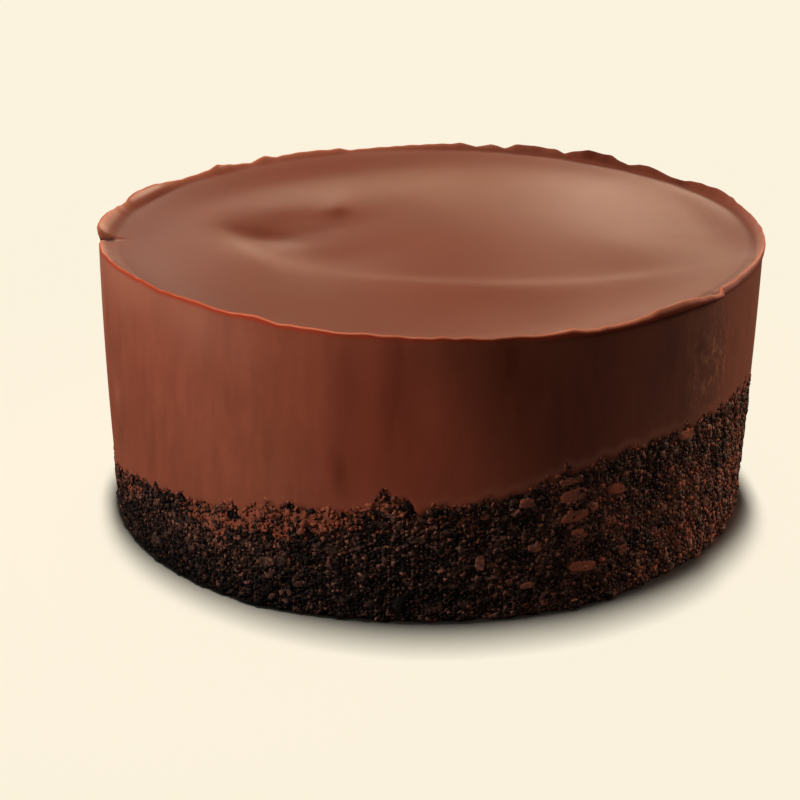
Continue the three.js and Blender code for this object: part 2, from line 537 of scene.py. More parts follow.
@dataclass(frozen=True)
class FillingFinish(Finish):
    """Satin set chocolate: milk-chocolate brown, with painted glow and crest highlight at the thin lip, and
    painted shade, highlights and glints.
    """

    name: str = "satin_chocolate_filling"
    body: Row = rgb(0.23, 0.062, 0.033)
    light: Row = rgb(0.272, 0.08, 0.044)
    deep: Row = rgb(0.21, 0.055, 0.029)
    # Colour of the painted highlights and of the lighter band above the joint.
    paler: Row = rgb(0.34, 0.125, 0.078)
    # Painted shade colour.
    shaded: Row = rgb(0.05, 0.009, 0.004)
    # Painted redder glow of light scattered in the chocolate where the side turns from the key light.
    red_glow: Row = rgb(0.33, 0.058, 0.027)
    # thin: painted crest highlight and backlit glow of the thin lip; painted_glow: painted glow of light
    # through the lip's outer band.
    thin: Row = rgb(0.68, 0.22, 0.12)
    painted_glow: Row = rgb(0.28, 0.032, 0.011)
    # Bright flecks of the scuffed patch, partly painted glints.
    scuff_glint: Row = rgb(0.48, 0.165, 0.08)
    # Near-black painted shadow in the gap of the lip's tear.
    tear_shadow: Row = rgb(0.01, 0.002, 0.0015)
    roughness: float = 0.5
    top_roughness: float = 0.33
    scuff_roughness: float = 0.6
    lip_roughness: float = 0.7
    shade_roughness: float = 0.4
    shine: float = 0.3
    scatter: float = 0.15
    scatter_scale: float = 0.0008
    scatter_radius: tuple[float, float, float] = (1.0, 0.3, 0.15)
    grain_depth: float = 0.02

    def wire(self, wires: Wiring, shader: bpy.types.Node) -> None:
        """Feed the shader: mottled brown, painted lip glow and highlights, painted shade and glints, faint
        upright streaks and fine grain.
        """
        soft = self.grain(wires, cloud=14.0, grain=0.35)
        streak = self.grain(wires, cloud=4.5, grain=1.3, upright=0.2)
        specks = self.grain(wires, cloud=3.0, grain=0.45, upright=0.5)
        lip = self.attribute(wires, Mark.LIP)
        side = wires.math("SUBTRACT", 1.0, self.attribute(wires, Mark.TOP))
        scuff = self.attribute(wires, Mark.SCUFF)
        colour = wires.blend(wires.span(soft["Clouds"], 0.3, 0.7), self.deep, self.body)
        streaks = wires.math("MULTIPLY", wires.span(streak["Clouds"], 0.4, 0.7, 0.0, 0.22), side)
        colour = wires.blend(streaks, colour, self.light)
        dull = wires.span(streak["Grains"], 0.35, 0.65, 0.0, 0.1)
        dull = wires.math("ADD", dull, wires.span(specks["Clouds"], 0.35, 0.65, 0.0, 0.14))
        colour = wires.blend(wires.math("MULTIPLY", dull, side), colour, self.shaded)
        # Painted highlights, and the lighter band above the joint.
        colour = wires.blend(self.attribute(wires, Mark.PALE), colour, self.paler)
        colour = wires.blend(self.attribute(wires, Mark.RED_GLOW), colour, self.red_glow)
        # Painted shade share, and the tear's painted shadow where that share is near full.
        smoke = wires.span(streak["Clouds"], 0.35, 0.65, 0.8, 1.2)
        shade = wires.math("MULTIPLY", self.attribute(wires, Mark.SHADE), smoke, clamp=True)
        tear_shadow = wires.span(self.attribute(wires, Mark.SHADE), 0.85, 1.0)
        # Bright flecks in the scuffed patch: partly painted glints on its pits.
        glint_flecks = wires.math("MULTIPLY", scuff, wires.span(specks["Grains"], 0.5, 0.66))
        colour = wires.blend(glint_flecks, colour, self.scuff_glint)
        # Painted glow on the lip's outer band, painted highlight on its crest.
        painted_glow = wires.math("MULTIPLY", wires.span(lip, 0.0, 0.5), side)
        colour = wires.blend(painted_glow, colour, self.painted_glow)
        crest = wires.math("MAXIMUM", wires.span(lip, 0.5, 1.0), wires.math("SUBTRACT", lip, side))
        colour = wires.blend(crest, colour, self.thin)
        # Painted shade and the tear's painted shadow go on last.
        colour = wires.blend(shade, colour, self.shaded)
        colour = wires.blend(tear_shadow, colour, self.tear_shadow)
        rough = wires.span(side, 0.0, 1.0, self.top_roughness, self.roughness)
        rough = wires.math("ADD", rough, wires.span(soft["Clouds"], 0.3, 0.7, -0.03, 0.03))
        rougher = wires.math("MULTIPLY", glint_flecks, self.scuff_roughness - self.roughness)
        rough = wires.math("ADD", rough, rougher)
        rougher = wires.math("MULTIPLY", lip, self.lip_roughness - self.roughness)
        rough = wires.math("ADD", rough, rougher)
        rough = wires.math("ADD", rough, wires.math("MULTIPLY", shade, self.shade_roughness))
        bump = wires.add("ShaderNodeBump")
        wires.fill(bump, Strength=0.5, Distance=self.grain_depth * MM, Height=soft["Grains"])
        wires.fill(shader, Base_Color=colour, Roughness=rough, Normal=bump.outputs[0])
        wires.fill(shader, IOR=1.45, Specular_IOR_Level=self.shine, Subsurface_Weight=self.scatter)
        wires.fill(shader, Subsurface_Radius=self.scatter_radius, Subsurface_Scale=self.scatter_scale)


@dataclass(frozen=True)
class CrumbFinish(Finish):
    """Dark cocoa crumb: near-black grains, some red-brown, with damp dull highlights."""

    name: str = "dark_cocoa_crumb"
    black: Row = rgb(0.0065, 0.005, 0.0045)
    brown: Row = rgb(0.038, 0.019, 0.014)
    russet: Row = rgb(0.145, 0.058, 0.039)
    pale: Row = rgb(0.31, 0.082, 0.044)
    smear: Row = rgb(0.18, 0.048, 0.025)
    roughness: float = 0.7
    shine: float = 0.1
    grain_depth: float = 0.1

    def wire(self, wires: Wiring, shader: bpy.types.Node) -> None:
        """Feed the shader: a tone for each grain, broken by finer grain, and filling smears."""
        fine = self.grain(wires, cloud=2.6, grain=0.4)
        tone = self.attribute(wires, Mark.TONE)
        tone = wires.math("ADD", tone, wires.span(fine["Grains"], 0.35, 0.65, -0.25, 0.25))
        tone = wires.math("ADD", tone, wires.span(fine["Clouds"], 0.35, 0.65, -0.25, 0.15))
        colour = wires.blend(wires.span(tone, 0.0, 0.5), self.black, self.brown)
        colour = wires.blend(wires.span(tone, 0.5, 0.95), colour, self.russet)
        colour = wires.blend(wires.span(tone, 1.0, 1.4), colour, self.pale)
        specks = self.grain(wires, cloud=0.9, grain=0.3)
        smear = wires.span(specks["Clouds"], 0.35, 0.65, -0.42, 0.42)
        smear = wires.math("ADD", smear, wires.span(specks["Grains"], 0.35, 0.65, -0.15, 0.15))
        smear = wires.math("ADD", smear, self.attribute(wires, Mark.SMEAR))
        colour = wires.blend(wires.span(smear, 0.4, 0.72), colour, self.smear)
        rough = wires.span(fine["Clouds"], 0.3, 0.7, self.roughness - 0.1, self.roughness + 0.15)
        bump = wires.add("ShaderNodeBump")
        wires.fill(bump, Strength=0.7, Distance=self.grain_depth * MM, Height=fine["Grains"])
        wires.fill(shader, Base_Color=colour, Roughness=rough, Normal=bump.outputs[0])
        wires.fill(shader, IOR=1.45, Specular_IOR_Level=self.shine)


@dataclass(frozen=True)
class FloorFinish(Finish):
    """Plain pale studio floor, which throws back little light on what stands on it."""

    name: str = "pale_floor"
    colour: Row = rgb(0.9, 0.83, 0.675)
    bounce: Row = rgb(0.05, 0.045, 0.035)

    def wire(self, wires: Wiring, shader: bpy.types.Node) -> None:
        """Feed the shader: pale where it is seen, dim where it only throws light back."""
        seen = wires.add("ShaderNodeLightPath").outputs["Is Camera Ray"]
        grain = self.grain(wires, cloud=400.0, grain=150.0)
        rough = wires.span(grain["Clouds"], 0.0, 1.0, 0.85, 0.95)
        colour = wires.blend(seen, self.bounce, self.colour)
        wires.fill(shader, Base_Color=colour, Roughness=rough, Specular_IOR_Level=0.0)


@dataclass
class Filling:
    """Poured filling: smooth wall, thin ragged lip and the softly rippled top inside it."""

    form: CakeForm
    finish: FillingFinish = field(default_factory=FillingFinish)
    name: str = "poured_filling"
    columns: int = 720
    wall_rows: int = 56
    top_rows: int = 56
    under_rows: int = 3
    tuck_depth: float = 0.9
    tuck_inset: float = 0.22
    outer_lip: tuple[Row, ...] = (
        (0.00, 0.00, 0.00, 0.0, 0.0), (0.18, 0.00, 0.05, 0.25, 0.0), (0.28, 0.00, 0.10, 0.8, 0.0),
        (0.42, 0.00, 0.25, 1.0, 0.0), (0.58, 0.00, 0.40, 1.0, 0.1), (0.72, 0.00, 0.70, 0.9, 0.35),
        (0.85, -0.02, 0.88, 0.6, 0.6), (0.94, -0.06, 0.97, 0.3, 0.95), (1.00, -0.14, 1.00, 0.1, 1.0),
    )
    inner_lip: tuple[Row, ...] = (
        (0.99, -0.23, 0.97, 0.0, 0.9), (0.86, -0.34, 0.88, 0.0, 0.6), (0.62, -0.50, 0.62, 0.0, 0.3),
        (0.38, -0.72, 0.35, 0.0, 0.15), (0.20, -1.02, 0.15, 0.0, 0.05), (0.07, -1.48, 0.05, 0.0, 0.0),
        (0.00, -2.10, 0.00, 0.0, 0.0),
    )
    scuff: Blotch = Blotch(323.8, 25, 5.2, 5.0, 1.0)
    scuff_dents: int = 80
    scuff_dent_half: float = 0.6
    scuff_dent_depth: float = 0.045
    scuff_seed: int = 41
    scuff_spread: float = 0.6
    scuff_sizes: tuple[float, float] = (0.6, 1.4)
    scuff_depths: tuple[float, float] = (-0.5, 1.0)
    # Painted shade on the wall where it turns from the lights, with dark painted reflections.
    painted_shade_patches: tuple[Blotch, ...] = table(
        Blotch,
        (257.5, 28, 2.2, 7, 0.18), (263, 22, 12, 16, 0.27), (266, 27, 3.2, 7, 0.27),
        (280.5, 29, 5.5, 8, 0.42), (289, 24, 7.5, 10, 0.27), (256, 18, 1.7, 3.2, 0.25),
        (302, 26, 13, 16, 0.37), (321, 25, 9, 14, 0.5), (215, 12, 30, 10, 0.27),
        (274, 33, 9, 4, 0.25), (311, 29, 6, 9, 0.25),
    )
    # Painted highlights on the wall: a gloss streak at the left edge, a lighter upper wall on the left and
    # lighter reflections at the front.
    pale: tuple[Blotch, ...] = table(
        Blotch,
        (207, 35, 22, 5, 0.55), (230, 33, 6, 5, 0.3), (239, 31, 3, 5, 0.15), (194, 28, 2.5, 4, 0.4),
        (203, 18, 2, 1.2, 0.25), (261, 29, 2.2, 5, 0.12), (269, 28, 2.6, 6, 0.12),
    )
    # Painted redder glow where the front side turns from the key light.
    red_glow: tuple[Blotch, ...] = table(
        Blotch,
        (262, 24, 12, 14, 0.5), (278, 22, 12, 16, 0.35),
    )
    mounds: tuple[Mound, ...] = table(
        Mound,
        (0, -38, 36, 30, 24, 0, -0.6), (-16.5, 1.5, 10, 24, 8, 20, -1.1),
        (-7, -5, 6, 7, 5, -20, -0.1), (38, 4, 13, 26, 26, 0, 0.17),
        (-17, 24, 20, 10, 6, 35, -0.55, -0.017), (-11.8, 11.2, 1.7, 2.2, 5, 0, 0.3),
        (-24, -3.5, 10, 6, 2.6, -63, 0.4), (5, 4, 14, 14, 45, 10, 0.3), (-12, -2, 5, 4, 8, 0, 0.14),
        (8, -19, 22, 5, 1.8, -3, 0.13, 0.012), (-21.5, 1.0, 5, 9, 3.0, -22, -0.36),
        (-15.5, 4.5, 2.5, 8, 3, 0, 0.12), (24.5, -4.5, 6.5, 9, 10, 0, 0.22),
        (-12, -36, 12, 8, 16, 0, -0.45),
    )
    # Painted shade on the top: the hollow, its dimple and crease, and a few broader darker places.
    top_shade: tuple[Mound, ...] = table(
        Mound,
        (-11.8, 9.2, 1.3, 2.0, 2.2, 0, 0.3), (-21, 3.6, 4.5, 1.6, 2.0, -22, 0.2),
        (-18, 2.5, 9, 6, 6, -10, 0.12), (33, 0, 7, 14, 14, 0, 0.14), (-18, -25, 9, 7, 7, 0, 0.07),
    )
    # pale_foot: a lighter band just above the joint. pale_fillet: painted sheen inside the lip's fillet.
    pale_foot: Swell = Swell(298, 26, 0.6)
    pale_fillet: tuple[Swell, ...] = (Swell(210, 22, 0.7), Swell(285, 38, 0.6))
    # Painted shade in the lip's tear and inside the lip at the back.
    tear_shade: Swell = Swell(185.4, 1.2, 1.15)
    shaded_brim: Swell = Swell(48, 34, 0.8)
    # Where the lip's painted glow and highlight fade, and where painted light is added on the rolled band.
    lip_light_fades: tuple[Swell, ...] = (Swell(45, 50, 0.5), Swell(212, 48, 0.33))
    roll_lip_light: Swell = Swell(306, 20, 0.4)
    dull_inside: Swell = Swell(35, 42, 0.9)
    snug: Swell = Swell(25, 50, 0.45)
    least_lip: float = 0.08
    shaded_fillet: Swell = Swell(325, 26, 0.35)
    crest_gap: float = 0.4
    top_crowding: float = 1.15
    pale_foot_rise: float = 1.4
    pale_foot_half: float = 0.5
    fillet_rings: int = 6
    fade_rings: int = 3

    def top_relief(self, x: Array, y: Array) -> Array:
        """Return the height of the top's ridges and hollows at each point, in millimetres."""
        return sum(mound.at(x, y) for mound in self.mounds)

    def dents(self, turn: Array, height: Array) -> Array:
        """Return how far the small dents of the scuffed patch go in, in millimetres."""
        draw = np.random.default_rng(self.scuff_seed)
        patch = self.scuff
        total = np.zeros_like(turn * height)
        for _ in range(self.scuff_dents):
            middle = patch.turn + patch.half_turn * draw.normal(0.0, self.scuff_spread)
            level = patch.height + patch.half_height * draw.normal(0.0, self.scuff_spread)
            half = self.scuff_dent_half * draw.uniform(*self.scuff_sizes)
            across = np.radians(wrapped(turn - middle)) * self.form.top_radius / half
            along = (height - level) / half
            total += draw.uniform(*self.scuff_depths) * np.exp(-(across**2) - along**2)
        return self.scuff_dent_depth * total

    def brim_shade(self, turn: Array, rings: int, wall_end: int) -> Array:
        """Return the painted shade of each ring at the lip's tear, inside the lip at the back and along the
        fillet.

        Args:
            turn: Turns in degrees.
            rings: How many rings the filling has.
            wall_end: How many of them belong to the wall and the lip's outer side.

        Returns:
            Shares, shaped (rings, turns).
        """
        ring = np.arange(rings)[:, None]
        last = wall_end + len(self.inner_lip) - 1
        fade = self.fade_rings
        inner = (ring >= wall_end - fade) * np.clip((last - ring) / fade, 0.0, 1.0)
        fillet = (ring > wall_end) & (ring <= last)
        first_torn = wall_end - len(self.outer_lip) + fade
        tear_shadow = (ring >= first_torn) & (ring < wall_end + self.fillet_rings)
        shade = inner * self.shaded_brim.at(turn) + fillet * self.shaded_fillet.at(turn)
        return shade + tear_shadow * self.tear_shade.at(turn)

    def build(self) -> Piece:
        """Build the filling as one closed mesh with its marks.

        Returns:
            The new object.
        """
        form = self.form
        turn = np.linspace(0.0, 360.0, self.columns, endpoint=False)
        one = np.ones_like(turn)
        lip_light_share = 1.0 - swells(self.lip_light_fades, turn)
        seam = form.seam(turn, one) - self.tuck_depth
        crest = form.rim(turn)
        crease = np.minimum(form.wall_height - form.crease_drop, crest - self.crest_gap)
        level = form.wall_height - form.pour_drop
        creep = form.brim_creep(turn)
        snug = 1.0 - self.snug.at(turn)
        inside = form.wall(turn, crease) + self.inner_lip[-1][1] * snug
        x, y, _ = on_wall(turn, inside, 0.0 * turn).T
        rise = creep + self.top_relief(x, y)
        brim = np.minimum(level + rise, crest - self.least_lip)
        sunk = level + rise - brim
        flare, roll = form.lip_flare(turn), form.lip_roll(turn)
        radii, heights, lips = [], [], []

        def ring(radius: Array, height: Array, lip: Array | float = 0.0) -> None:
            radii.append(radius)
            heights.append(height + 0.0 * turn)
            lips.append(lip * lip_light_share)

        for share in np.linspace(0.25, 0.97, self.under_rows):
            low = form.seam(turn, share * one) - self.tuck_depth * share
            ring(share * form.wall(turn, seam), low)
        for share in np.linspace(0.0, 1.0, self.wall_rows, endpoint=False):
            height = seam + (crease - seam) * share
            inset = self.tuck_inset * (1.0 - smooth(0.0, self.tuck_depth, height - seam))
            ring(form.wall(turn, height) - inset - self.dents(turn, height), height)
        edge = form.wall(turn, crease)
        for rise, reach, lean, bulge, lip in self.outer_lip:
            radius = edge + reach + lean * flare + bulge * roll
            # The rolled band that bulges out gets painted light.
            thin = np.minimum(lip + bulge * self.roll_lip_light.at(turn), 1.0)
            ring(radius, crease + rise * (crest - crease), thin)
        wall_end = len(radii)
        lip_light_share = 1.0 - self.dull_inside.at(turn)
        for rise, reach, lean, bulge, lip in self.inner_lip:
            radius = edge + reach * snug + lean * flare + bulge * roll
            ring(radius, brim + rise * (crest - brim), lip)
        for share in np.linspace(0.0, 1.0, self.top_rows + 1)[1:-1]:
            radius = inside * (1.0 - share**self.top_crowding)
            x, y, _ = on_wall(turn, radius, 0.0 * turn).T
            away = inside - radius
            edging = creep * np.exp(-((away / form.creep_width) ** 2)) - sunk * np.exp(-(away**2))
            ring(radius, level + self.top_relief(x, y) + edging)
        radius, height = np.array(radii), np.array(heights)
        is_wall = np.arange(len(radii))[:, None] < wall_end
        origin = np.zeros(1)
        centre = level + float(self.top_relief(origin, origin)[0])
        bottom = Vector((0.0, 0.0, form.seam_height))
        rows = on_wall(turn[None, :], radius, height)
        mesh = ring_mesh(self.name, rows, bottom, Vector((0.0, 0.0, centre)))
        mark(mesh, Mark.LIP, np.array(lips))
        mark(mesh, Mark.TOP, 1.0 - is_wall * np.ones_like(radius), pole=1.0)
        mark(mesh, Mark.SCUFF, self.scuff.at(turn[None, :], height) * is_wall)
        clouded = ((Mark.SHADE, self.painted_shade_patches), (Mark.RED_GLOW, self.red_glow), (Mark.PALE, self.pale))
        for name, patches in clouded:
            share = sum(patch.at(turn[None, :], height) for patch in patches)
            share = share * is_wall
            # Painted highlights, the lighter band above the joint and painted sheen on the fillet.
            if name is Mark.PALE:
                above = (height - seam - self.pale_foot_rise) / self.pale_foot_half
                share = share + self.pale_foot.at(turn) * np.exp(-(above**2))
                fillet = slice(wall_end + 1, wall_end + 1 + self.fillet_rings)
                share[fillet] += swells(self.pale_fillet, turn)
            # Painted shade: wall patches, the lip's tear, inside the lip and the top's hollows.
            if name is Mark.SHADE:
                share = share + self.brim_shade(turn, len(radii), wall_end)
                top_shade = sum(mound.at(rows[..., 0], rows[..., 1]) for mound in self.top_shade)
                share = share + top_shade * ~is_wall
            mark(mesh, name, np.clip(share, 0.0, 1.0))
        return new_object(self.name, mesh)

    def dress(self, piece: Piece) -> None:
        """Finish the filling and put it in the filling solid's place."""
        self.finish.dress(piece)
        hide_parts(Node.FILLING.value)
        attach(piece, BODY)


class GeometryTree:
    """A Geometry Nodes tree with named inputs, run once on a mesh to give a plain mesh."""

    def __init__(self, name: str) -> None:
        """Start an empty tree with a geometry input and output."""
        self.group = bpy.data.node_groups.new(name, "GeometryNodeTree")
        self.wires = Wiring(self.group)
        self.keys: dict[str, str] = {}
        socket_in(self.group, "Geometry", "NodeSocketGeometry")
        socket_out(self.group, "Geometry", "NodeSocketGeometry")
        self.given = self.wires.add("NodeGroupInput")
        self.result = self.wires.add("NodeGroupOutput")

    def need(self, name: str, kind: str = "NodeSocketFloat") -> Socket:
        """Add a named input of the tree and return the socket that gives its value."""
        self.keys[name] = socket_in(self.group, name, kind).identifier
        return self.given.outputs[name]

    def named(self, name: Mark) -> Socket:
        """Return the number that the geometry stores under a mark."""
        node = self.wires.add("GeometryNodeInputNamedAttribute", data_type="FLOAT")
        return self.wires.fill(node, Name=name.value).outputs["Attribute"]

    def position(self) -> Socket:
        """Return each point's position."""
        return self.wires.add("GeometryNodeInputPosition").outputs[0]

    def shifted(self, geometry: Socket, offset: Socket) -> Socket:
        """Return the geometry with its points moved by an offset."""
        node = self.wires.add("GeometryNodeSetPosition")
        return self.wires.fill(node, Geometry=geometry, Offset=offset).outputs[0]

    def stored(self, geometry: Socket, name: Mark, value: Feed) -> Socket:
        """Return the geometry with a number stored at each point."""
        node = self.wires.add("GeometryNodeStoreNamedAttribute", data_type="FLOAT", domain="POINT")
        return self.wires.fill(node, Geometry=geometry, Name=name.value, Value=value).outputs[0]

    def finish(self, geometry: Socket, material: bpy.types.Material) -> None:
        """End the tree: smooth shading, instances made real, one material."""
        wires = self.wires
        shade = wires.add("GeometryNodeSetShadeSmooth")
        wires.fill(shade, Geometry=geometry, Shade_Smooth=True)
        real = wires.fill(wires.add("GeometryNodeRealizeInstances"), Geometry=shade.outputs[0])
        paint = wires.fill(wires.add("GeometryNodeSetMaterial"), Geometry=real.outputs[0])
        paint.inputs["Material"].default_value = material
        wires.fill(self.result, Geometry=paint.outputs[0])

    def run(self, name: str, source: bpy.types.Mesh, values: dict[str, object]) -> Piece:
        """Evaluate the tree on a mesh and keep the result as a plain mesh object.

        Args:
            name: Name of the new piece.
            source: Mesh that the tree starts from.
            values: Value of each named input.

        Returns:
            An object with no modifiers.
        """
        carrier = new_object(f"{name}_source", source)
        modifier = carrier.modifiers.new("shape", "NODES")
        modifier.node_group = self.group
        for key, value in values.items():
            modifier[self.keys[key]] = value
        bpy.context.view_layer.update()
        shaped = carrier.evaluated_get(bpy.context.evaluated_depsgraph_get())
        mesh = bpy.data.meshes.new_from_object(shaped)
        mesh.name = name
        carrier.modifiers.remove(modifier)
        bpy.data.objects.remove(carrier)
        return new_object(name, mesh)


@dataclass(frozen=True)
class CrumbWall:
    """Side of the crumb base: its unevenness, its worn foot, and where filling is worked into it."""

    form: CakeForm
    dents: Waves = Waves(seed=31, fewest=25, most=80, climb=1.6, size=0.06, count=24)
    foot_dents: Waves = Waves(seed=32, fewest=18, most=70, climb=0.6, size=0.12, count=20)
    foot_dent_height: float = 2.5
    foot_round: float = 0.5
    smears: tuple[Blotch, ...] = table(
        Blotch,
        (199, 6.5, 7, 2.0, 0.5), (208, 7.3, 4, 1.6, 0.45), (231, 9.0, 5, 2.2, 0.65),
        (243, 11, 8, 2.6, 0.8), (254, 12.3, 6, 2.0, 0.7), (264, 14.2, 5, 1.5, 0.5),
        (273, 12.3, 6, 0.8, 0.45),
    )
    seam_smear: float = 0.45
    # Browner and darker places of the crumb: partly browner crumb, partly painted light on the dim right
    # front and painted shade on the lit left and at the foot.
    warm: tuple[Blotch, ...] = table(
        Blotch,
        (295, 8, 28, 60, 0.4), (335, 8, 28, 60, 0.6), (225, 8, 30, 60, -0.08),
        (240, 0.5, 48, 3.5, -0.2), (226, 7, 24, 3.5, 0.34), (275, 4, 9, 3, -0.1),
        (260, 10, 10, 2.5, 0.15), (302, 12, 7, 4, 0.15), (312, 15, 4, 5, -0.2),
        (321, 6.5, 6, 5, 0.25), (330, 11, 4, 6, -0.2), (340, 8, 6, 7, 0.25),
    )

    def radius(self, turn: Array, height: Array) -> Array:
        """Return the uneven wall's radius, in millimetres."""
        low = np.clip(1.0 - height / self.foot_dent_height, 0.0, 1.0)
        round_off = self.foot_round * np.clip(1.0 - height / self.foot_round, 0.0, 1.0) ** 2
        uneven = self.dents.at(turn, height) + self.foot_dents.at(turn, height) * low
        return self.form.wall(turn, height) + uneven - round_off

    def smear(self, turn: Array, height: Array) -> Array:
        """Return how much filling is worked in between the crumbs, from 0 to 1."""
        below = self.form.seam(turn, np.ones_like(turn)) - height
        edge = np.clip(1.0 - below / self.seam_smear, 0.0, 1.0)
        return np.clip(edge + sum(patch.at(turn, height) for patch in self.smears), 0.0, 1.0)

    def warmth(self, turn: Array, height: Array) -> Array:
        """Return how much browner than usual the crumbs are, partly painted light and shade."""
        return sum(patch.at(turn, height) for patch in self.warm)


@dataclass
class CrumbCore:
    """Packed crumb under the separate grains: a wedge with pitted sides and a flat underside."""

    wall: CrumbWall
    finish: CrumbFinish = field(default_factory=CrumbFinish)
    name: str = "packed_crumb_core"
    columns: int = 960
    wall_rows: int = 62
    under_rows: int = 24
    roof_rows: int = 4
    grain_size: float = 0.5
    pit_depth: float = 0.22
    sink: float = 0.06
    foot_bevel: float = 0.1
    under_facing: tuple[float, float] = (-0.95, -0.5)
    under_tone: float = 0.25

    def source(self) -> bpy.types.Mesh:
        """Return the smooth wedge that the grain relief is cut into."""
        wall, form = self.wall, self.wall.form
        turn = np.linspace(0.0, 360.0, self.columns, endpoint=False)
        one = np.ones_like(turn)
        none = 0.0 * turn
        rows, smears, warmths = [], [], []

        def ring(radius: Array, height: Array, smear: Array) -> None:
            rows.append(on_wall(turn, radius, height))
            smears.append(smear)
            warmths.append(wall.warmth(turn, height))

        for share in np.linspace(0.03, 1.0, self.under_rows):
            ring(share * (wall.radius(turn, none) - self.foot_bevel), none, none)
        seam = form.seam(turn, one)
        for share in np.linspace(0.0, 1.0, self.wall_rows):
            height = self.foot_bevel + (seam - self.foot_bevel) * share
            ring(wall.radius(turn, height) - self.sink, height, wall.smear(turn, height))
        for share in np.linspace(0.97, 0.25, self.roof_rows):
            ring(share * form.wall(turn, seam), form.seam(turn, share * one), one)
        top = Vector((0.0, 0.0, form.seam_height))
        mesh = ring_mesh(self.name, np.array(rows), Vector((0.0, 0.0, 0.0)), top)
        mark(mesh, Mark.SMEAR, np.array(smears))
        mark(mesh, Mark.TONE, np.array(warmths))
        return mesh

    def tree(self) -> GeometryTree:
        """Return the tree that sinks pits between the side's grains, tones each grain and paints shade into
        the pits.
        """
        tree = GeometryTree("crumb_relief")
        wires = tree.wires
        size = tree.need("Grain size")
        depth = tree.need("Pit depth")
        place = tree.position()
        facing = wires.add("GeometryNodeInputNormal").outputs[0]
        smear = tree.named(Mark.SMEAR)
        upward = wires.fill(wires.add("ShaderNodeSeparateXYZ"), Vector=facing).outputs["Z"]
        side = wires.span(upward, *self.under_facing)
        cells = wires.add("ShaderNodeTexVoronoi", feature="F1")
        wires.fill(cells, Vector=place, Scale=wires.math("DIVIDE", 1.0, size))
        lumps = wires.add("ShaderNodeTexNoise")
        wires.fill(lumps, Vector=place, Scale=wires.math("DIVIDE", 0.35, size), Detail=3.0)
        pit = wires.span(cells.outputs["Distance"], 0.25, 0.8)
        hollow = wires.span(lumps.outputs["Fac"], 0.4, 0.7)
        deep = wires.math("MULTIPLY", wires.math("ADD", pit, hollow), depth)
        deep = wires.math("MULTIPLY", deep, wires.span(smear, 0.2, 1.0, -1.0, -0.15))
        deep = wires.math("MULTIPLY", deep, side)
        geometry = tree.shifted(tree.given.outputs["Geometry"], wires.times(facing, deep))
        tint = wires.fill(wires.add("FunctionNodeSeparateColor"), Color=cells.outputs["Color"])
        tone = wires.math("MULTIPLY", tint.outputs[0], tint.outputs[1])
        # Painted shade: darker tone in the pits between grains.
        tone = wires.math("SUBTRACT", tone, wires.math("MULTIPLY", pit, 0.4))
        tone = wires.math("MULTIPLY", wires.math("ADD", tone, tree.named(Mark.TONE)), side)
        under = wires.span(upward, *self.under_facing, self.under_tone, 0.0)
        tone = wires.math("ADD", tone, under)
        geometry = tree.stored(geometry, Mark.TONE, tone)
        tree.finish(geometry, self.finish.material())
        return tree

    def build(self) -> Piece:
        """Return the pitted core as a plain mesh object."""
        values = {"Grain size": self.grain_size * MM, "Pit depth": self.pit_depth * MM}
        return self.tree().run(self.name, self.source(), values)

    def dress(self, piece: Piece) -> None:
        """Put the core in the base solid's place."""
        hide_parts(Node.BASE.value)
        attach(piece, BODY)


@dataclass(frozen=True)
class GrainKind:
    """One kind of crumb grain that is pressed into the base's wall, sizes in millimetres."""

    name: str
    spacing: float
    smallest: float
    largest: float
    low_tone: float
    high_tone: float
    seed: int
    sides: int = 2
    flatness: float = 0.6
    sink: float = 0.08
    stand: float = 0.05
    evenly: float = 1.0
    in_smears: float = -0.65

    def values(self) -> dict[str, object]:
        """Return the kind's value for each named input of the grain tree."""
        return {
            "Spacing": self.spacing * MM,
            "Smallest": self.smallest * MM,
            "Largest": self.largest * MM,
            "Lowest tone": self.low_tone,
            "Highest tone": self.high_tone,
            "Flatness": self.flatness,
            "Sink": self.sink * MM,
            "Stand": self.stand * MM,
            "Evenly": self.evenly,
            "In smears": self.in_smears,
            "Sides": self.sides,
            "Seed": self.seed,
        }


